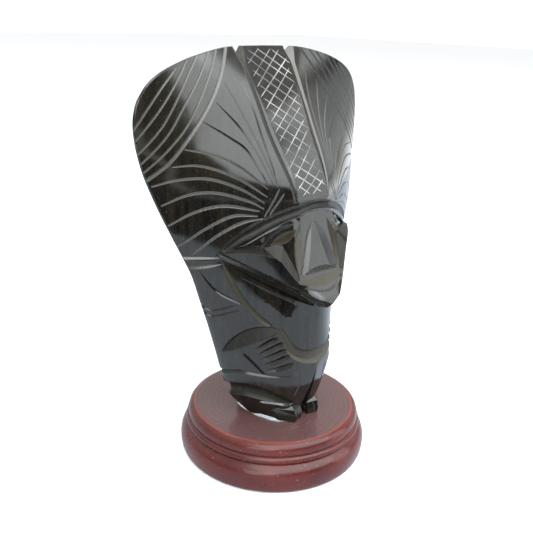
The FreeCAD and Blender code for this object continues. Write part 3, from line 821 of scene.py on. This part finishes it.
def wood_material():
    """Red-brown stained wood with growth rings on the top and upright grain on the sides under a varnish coat; the top
    is greyed with painted sheen and a painted highlight runs along its edge.
    """
    shade = Shading("stained_wood")
    axis = shade.add("ShaderNodeSeparateXYZ", Vector=shade.place)
    wobble = shade.noise(22.0, 3.0)
    shifted = shade.add("ShaderNodeVectorMath", {"operation": "ADD"}, Vector=shade.stretched((1.0, 1.0, 0.0)))
    shifted.inputs[1].default_value = (0.006, -0.004, 0.0)
    reach = shade.add("ShaderNodeVectorMath", {"operation": "LENGTH"})
    shade.links.new(shifted.outputs["Vector"], reach.inputs[0])
    ring_place = shade.add("ShaderNodeMath", {"operation": "MULTIPLY_ADD"})
    shade.join(ring_place.inputs[0], wobble)
    shade.join(ring_place.inputs[1], 0.009)
    shade.join(ring_place.inputs[2], reach.outputs["Value"])
    phase = shade.add("ShaderNodeMath", {"operation": "MULTIPLY"})
    shade.join(phase.inputs[0], ring_place.outputs[0])
    shade.join(phase.inputs[1], 2100.0)
    wave = shade.add("ShaderNodeMath", {"operation": "SINE"})
    shade.join(wave.inputs[0], phase.outputs[0])
    pores = shade.noise(1.0, 4.0, 0.7, shade.stretched((900.0, 900.0, 28.0)))
    cloud = shade.noise(24.0, 3.0, 0.6)
    stain = shade.mix(shade.span(cloud, 0.3, 0.7, 0.0, 1.0), (0.042, 0.0062, 0.0052), (0.094, 0.012, 0.0085))
    ringed = shade.mix(shade.span(wave.outputs[0], -0.2, 1.0, 0.0, 0.3), stain, (0.04, 0.01, 0.008))
    grained = shade.mix(shade.span(pores, 0.42, 0.68, 0.0, 0.5), ringed, (0.028, 0.006, 0.005))
    # Faces that look up are greyed towards mauve: painted sheen on the top, laid over its real scuffs.
    facing = shade.add("ShaderNodeNewGeometry")
    tilt = shade.add("ShaderNodeSeparateXYZ", Vector=facing.outputs["Normal"])
    top = shade.span(tilt.outputs["Z"], 0.9, 0.99, 0.0, 1.0)
    scuffs = shade.ramp(shade.noise(1.0, 6.0, 0.75, shade.stretched((130.0, 300.0, 60.0)), 1.5),
                        [(0.6, 0.0), (0.7, 0.55)])
    worn = shade.mix(scuffs, grained, (0.28, 0.2, 0.18))
    top_sheen_grey = shade.mix(0.65, worn, (0.085, 0.052, 0.051))
    ring_lines = shade.span(wave.outputs[0], 0.1, 1.0, 0.0, 0.3)
    with_top_sheen = shade.mix(top, grained, shade.mix(ring_lines, top_sheen_grey, (0.045, 0.022, 0.021)))
    dusty = shade.mix(shade.span(shade.noise(1300.0, 2.0), 0.7, 0.76, 0.0, 0.4), with_top_sheen, (0.45, 0.4, 0.36))
    # A brighter red ring along the top edge: painted highlight.
    radius = shade.add("ShaderNodeVectorMath", {"operation": "LENGTH"})
    shade.links.new(shade.stretched((1.0, 1.0, 0.0)), radius.inputs[0])
    arris_highlight_mask = shade.mix(shade.span(radius.outputs["Value"], (ARRIS_RADIUS + 0.3) * MM, (ARRIS_RADIUS + 1.0) * MM, 0.0, 1.0),
                           shade.span(radius.outputs["Value"], (ARRIS_RADIUS - 0.5) * MM, ARRIS_RADIUS * MM, 0.0, 0.6),
                           (0.0, 0.0, 0.0))
    arris_highlight = shade.mix(arris_highlight_mask, dusty, (0.2, 0.038, 0.028))
    rough = shade.span(shade.noise(90.0, 4.0, 0.6), 0.3, 0.7, 0.24, 0.42)
    ground = shade.bump(pores, 0.25, 0.0002)
    return shade.finish(Base_Color=arris_highlight, Roughness=rough, Coat_Weight=0.25, Coat_Roughness=0.1,
                        Specular_IOR_Level=0.2,
                        Normal=shade.bump(shade.noise(40.0, 3.0), 0.2, 0.0005, ground))


def glue_material():
    """Clear set glue."""
    shade = Shading("clear_glue")
    lumps = shade.noise(300.0, 3.0)
    colour = shade.mix(lumps, (0.62, 0.68, 0.75), (0.85, 0.88, 0.9))
    return shade.finish(Base_Color=colour, Roughness=shade.span(lumps, 0.3, 0.7, 0.05, 0.18), Transmission_Weight=0.6,
                        IOR=1.48, Normal=shade.bump(shade.noise(420.0, 2.0), 0.5, 0.0006))


def felt_material():
    """Dark pressed felt."""
    shade = Shading("felt")
    fibres = shade.noise(2200.0, 4.0, 0.7)
    clumps = shade.noise(160.0, 3.0)
    colour = shade.mix(shade.span(fibres, 0.3, 0.7, 0.0, 1.0), (0.012, 0.02, 0.014), (0.035, 0.055, 0.038))
    return shade.finish(Base_Color=colour, Roughness=shade.span(clumps, 0.3, 0.7, 0.85, 1.0), Sheen_Weight=0.4,
                        Normal=shade.bump(fibres, 0.8, 0.0004))


# ---------------------------------------------------------------- assembly


def build_carving():
    """The whole stone figure."""
    stone = build_fan()
    combine(stone, build_body(), "UNION")
    for side in SIDES:
        combine(stone, build_foot(side), "UNION")
    combine(stone, build_head(), "UNION")
    stone.name = "carved_stone"
    tree = BVHTree.FromPolygons([v.co[:] for v in stone.data.vertices], [p.vertices[:] for p in stone.data.polygons])
    carve_headdress(stone, tree)
    carve_face(stone, tree)
    carve_body(stone, tree)
    return stone


ARRIS_RADIUS = 43.3
BASE_PROFILE = [
    (0.0, 26.2), (20.0, 26.2), (38.0, 26.2), (42.6, 26.2), (43.3, 25.9), (44.4, 25.5), (45.6, 24.7), (46.4, 23.5),
    (46.8, 22.0), (46.9, 20.6), (46.5, 19.6), (46.4, 19.2), (47.2, 18.9), (47.9, 18.2), (48.1, 17.3), (47.9, 16.3),
    (47.2, 15.6), (47.1, 14.9), (47.8, 14.3), (49.2, 13.2), (50.3, 11.4), (50.9, 9.4), (51.1, 7.4), (51.0, 4.8),
    (50.6, 2.6), (50.0, 1.2), (49.3, 0.8), (30.0, 0.8), (0.0, 0.8),
]


def build_stand():
    """The turned wooden stand."""
    count = 144
    turns = np.linspace(0, 2 * math.pi, count, endpoint=False)
    vertices, faces = [(0.0, 0.0, BASE_PROFILE[0][1])], []
    rings = BASE_PROFILE[1:-1]
    for radius, height in rings:
        vertices += [(radius * math.cos(turn), radius * math.sin(turn), height) for turn in turns]
    vertices.append((0.0, 0.0, BASE_PROFILE[-1][1]))
    last = len(vertices) - 1
    for index in range(count):
        after = (index + 1) % count
        faces.append((0, 1 + index, 1 + after))
        for level in range(len(rings) - 1):
            low = 1 + level * count
            faces.append((low + index, low + count + index, low + count + after, low + after))
        low = 1 + (len(rings) - 1) * count
        faces.append((last, low + after, low + index))
    stand = make_object("turned_stand", vertices, faces, wood_material())
    merge_close(stand, 1e-5)
    return stand


def build_glue():
    """Bead of glue squeezed out around the feet."""
    outline = np.array(smooth_path([(0.5, -19.5), (5.5, -22.0)] + FOOTPRINT[1:-1], 1.2))
    loop = np.vstack([outline, outline[::-1] * (-1, 1)])
    centre = np.array((0.0, -6.0))
    away = unit(loop - centre)
    rings = []
    wobble = np.array([chance.uniform(-0.35, 0.35) for _ in loop])
    wobble = (wobble + np.roll(wobble, 1) + np.roll(wobble, -1)) / 2
    for out, height in ((1.5, BASE_TOP + 0.0), (1.45, BASE_TOP + 0.35), (1.1, BASE_TOP + 0.85), (0.5, BASE_TOP + 1.25),
                        (-0.6, BASE_TOP + 1.5), (-3.0, BASE_TOP + 0.5)):
        spread = 0.75 * np.clip(-loop[:, 0] / 12, 0, 1) * np.clip((loop[:, 1] + 25) / 9, 0, 1)
        grow = (out + wobble * (out > 0)) * spread - 1.4 * (1 - spread)
        ring = loop + away * grow[:, None]
        rings.append(np.column_stack([ring, np.full(len(ring), height)]))
    vertices, faces = closed_grid(rings)
    glue = make_object("glue_bead", vertices, faces, glue_material())
    merge_close(glue, 1e-5)
    return glue


def settle(piece, angle):
    """Metres, smooth shading with crisp edges, and even normals over large faces."""
    piece.data.transform(Matrix.Scale(MM, 4))
    piece.data.update()
    for polygon in piece.data.polygons:
        polygon.use_smooth = True
    piece.data.set_sharp_from_angle(angle=math.radians(angle))
    step = piece.modifiers.new("even", "WEIGHTED_NORMAL")
    step.keep_sharp = True
    step.weight = 80
    apply_modifiers(piece)


def place(piece, node, slot):
    """Ride on the only body and stand for the CAD node; slot is not used."""
    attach(piece, "root")
    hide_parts(node)


chance = random.Random(7)
stone_finishes = [
    obsidian_material("polished_obsidian", (0.0018, 0.002, 0.0022), (0.0085, 0.0072, 0.0036), 0.46, 0.12, 0.25, 0.5),
    obsidian_material("ground_obsidian", (0.028, 0.027, 0.024), (0.055, 0.05, 0.036), 0.4, 0.24, 0.8),
    scratched_material(),
    # A golden copy of the stone for grooves: painted sheen.
    obsidian_material("painted_sheen_obsidian", (0.012, 0.0105, 0.0055), (0.05, 0.04, 0.019), 0.35, 0.4, 0.5, 0.4),
    # A dark, weakly reflecting copy of the stone for recesses: painted shade.
    obsidian_material("painted_shade_obsidian", (0.003, 0.0027, 0.0022), (0.013, 0.0105, 0.006), 0.42, 0.34, 0.6, 0.22),
]
stone = build_carving()
settle(stone, 24)
place(stone, "carving", "obsidian")
stand = build_stand()
settle(stand, 40)
place(stand, "wooden_base", "stained_wood")
glue = build_glue()
settle(glue, 60)
place(glue, "adhesive", "clear_glue")
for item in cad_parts["felt_disc"].material_slots:
    item.material = felt_material()


# ---------------------------------------------------------------- floor, light and camera

ROLL = 1.95


def build_floor():
    """Plain pale table."""
    corners = [(-12.0, -12.0, 0.0), (12.0, -12.0, 0.0), (12.0, 12.0, 0.0), (-12.0, 12.0, 0.0)]
    floor = bpy.data.objects.new("floor", bpy.data.meshes.new("floor"))
    floor.data.from_pydata(corners, [], [(0, 1, 2, 3)])
    bpy.context.scene.collection.objects.link(floor)
    shade = Shading("table")
    dust = shade.noise(30.0, 3.0)
    floor.data.materials.append(shade.finish(Base_Color=shade.mix(dust, (0.86, 0.87, 0.88), (0.9, 0.91, 0.92)),
                                             Roughness=shade.span(dust, 0.3, 0.7, 0.7, 0.85)))


def add_card(name, corners, colour, glow, **seen_by):
    """Studio card through these corners, seen only by the kinds of ray named as True."""
    card = bpy.data.objects.new(name, bpy.data.meshes.new(name))
    card.data.from_pydata(corners, [], [tuple(range(len(corners)))])
    bpy.context.scene.collection.objects.link(card)
    shade = Shading(name)
    card.data.materials.append(shade.finish(Base_Color=(*colour, 1), Roughness=0.95, Specular_IOR_Level=0.0,
                                            Emission_Color=(*colour, 1), Emission_Strength=glow))
    for kind in ("camera", "diffuse", "glossy", "transmission", "volume_scatter", "shadow"):
        setattr(card, "visible_" + kind, seen_by.get(kind, False))


def build_cards():
    """Cards seen only by glossy rays, which paint dark and grey reflections into the polished stone, and a white
    backdrop all around.
    """
    left, middle, right, near, far = -0.8, -0.12, 0.3, -0.2, -0.45
    black = (0.01, 0.01, 0.01)
    add_card("grey_card", [(left, far, 0.001), (-left, far, 0.001), (-left, -far, 0.001), (left, -far, 0.001)],
             (0.45, 0.49, 0.55), 0.0, glossy=True)
    add_card("lying_card", [(left, far, 0.002), (middle, far, 0.002), (middle, near, 0.002), (left, near, 0.002)],
             black, 0.0, glossy=True)
    add_card("standing_card", [(left, far, 0.002), (right, far, 0.002), (right, far, 0.12), (left, far, 0.12)],
             black, 0.0, glossy=True)
    reach, height = 6.0, 7.0
    corners = [(-reach, -reach), (reach, -reach), (reach, reach), (-reach, reach)]
    for number, ((x, y), (next_x, next_y)) in enumerate(zip(corners, corners[1:] + corners[:1])):
        add_card(f"backdrop_{number}", [(x, y, -0.5), (next_x, next_y, -0.5), (next_x, next_y, height), (x, y, height)],
                 (1.0, 1.0, 1.0), 1.0, camera=True)


def add_camera():
    """Camera at the photograph's viewing angle."""
    data = bpy.data.cameras.new("camera")
    data.sensor_width = 36.0
    data.lens = 47.28
    data.clip_end = 200.0
    camera = bpy.data.objects.new("camera", data)
    bpy.context.scene.collection.objects.link(camera)
    camera.location = (-0.2383, -0.2467, 0.228)
    look = Vector((0.64103, 0.68791, -0.34038))
    roll = Matrix.Rotation(math.radians(ROLL), 4, "Z")
    turn = look.to_track_quat("-Z", "Y").to_matrix().to_4x4() @ roll
    camera.matrix_world = Matrix.Translation(camera.location) @ turn
    bpy.context.scene.camera = camera


def add_panel(name, place, target, size, brightness):
    """Soft rectangular light that faces its target; brightness is its radiance."""
    data = bpy.data.lights.new(name, "AREA")
    data.shape = "RECTANGLE"
    data.size, data.size_y = size
    data.energy = brightness * math.pi * size[0] * size[1]
    data.color = (0.93, 0.98, 1.0)
    light = bpy.data.objects.new(name, data)
    bpy.context.scene.collection.objects.link(light)
    light.location = place
    light.rotation_mode = "QUATERNION"
    light.rotation_quaternion = (Vector(target) - Vector(place)).to_track_quat("-Z", "Y")


def build_world():
    """White studio behind and above, dark room in front."""
    world = bpy.data.worlds.new("studio")
    bpy.context.scene.world = world
    world.use_nodes = True
    nodes, links = world.node_tree.nodes, world.node_tree.links
    place = nodes.new("ShaderNodeTexCoord")
    toward = nodes.new("ShaderNodeVectorMath")
    toward.operation = "DOT_PRODUCT"
    toward.inputs[1].default_value = (0.0, 0.3, 0.95)
    links.new(place.outputs["Generated"], toward.inputs[0])
    fade = nodes.new("ShaderNodeMapRange")
    fade.interpolation_type = "SMOOTHSTEP"
    for name, value in (("From Min", 0.0), ("From Max", 0.7), ("To Min", 0.03), ("To Max", 1.3)):
        fade.inputs[name].default_value = value
    links.new(toward.outputs["Value"], fade.inputs["Value"])
    links.new(fade.outputs["Result"], nodes["Background"].inputs["Strength"])
    nodes["Background"].inputs["Color"].default_value = (1.0, 1.0, 1.0, 1)


build_floor()
build_cards()
add_camera()
build_world()
bpy.context.scene.view_settings.view_transform = "Standard"
middle = (0.0, 0.0, 0.12)
add_panel("front_softbox", (-0.12, -0.925, 1.22), middle, (2.4, 1.6), 5.0)
add_panel("left_strip", (-1.05, -0.75, 0.46), middle, (0.85, 0.62), 5.0)
add_panel("right_front_softbox", (1.02, -0.93, 0.56), middle, (0.75, 1.05), 3.3)
add_panel("right_softbox", (1.4, -0.05, 0.5), middle, (0.8, 0.7), 1.0)
add_panel("top_softbox", (0.0, 0.15, 1.5), middle, (1.4, 1.4), 1.2)
